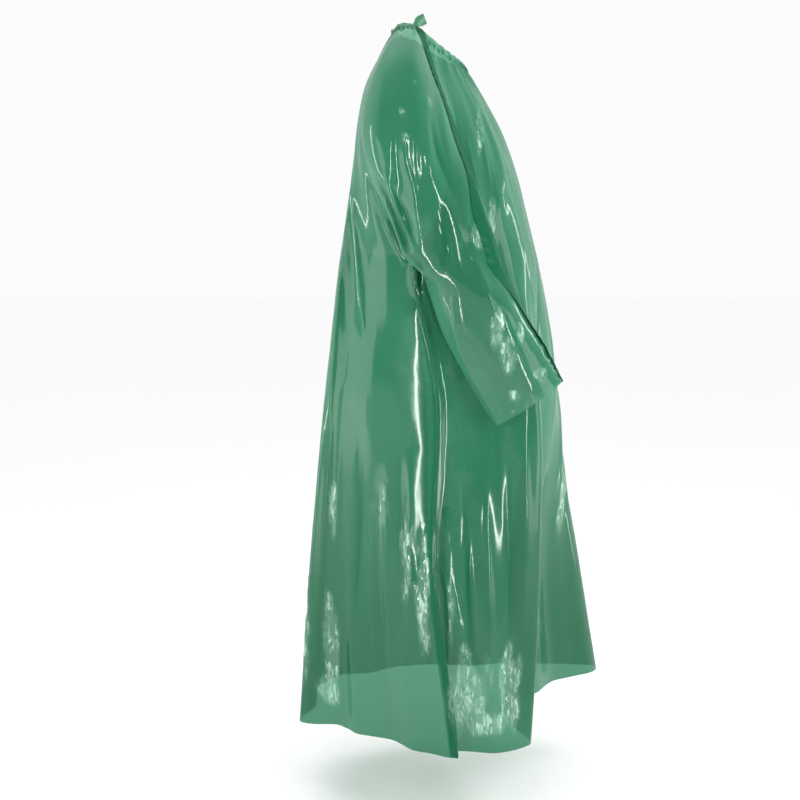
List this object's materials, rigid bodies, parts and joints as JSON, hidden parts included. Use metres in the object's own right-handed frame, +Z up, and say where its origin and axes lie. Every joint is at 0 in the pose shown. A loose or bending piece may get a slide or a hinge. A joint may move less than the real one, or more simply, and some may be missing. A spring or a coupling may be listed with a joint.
{
  "type": "calving gown",
  "caption": "Long disposable film gown with long sleeves, worn form: T-cut front, lapped open back, welded edges and neck ties.",
  "frame": {"origin": "middle of the neck opening on the shoulder line, where the wearer holds the gown up", "axes": "+Z up, the gown faces -Y, its right side is -X"},
  "size_m": [0.6098, 0.5914, 1.2844],
  "materials": {
    "film": "thin translucent glossy green film",
    "tie": "folded green film"
  },
  "bodies": {
    "root": {"front": "film", "back_right": "film", "back_left": "film", "neck_tie_right": "tie", "neck_tie_left": "tie", "tie_knot": "tie"}
  },
  "joints": []
}
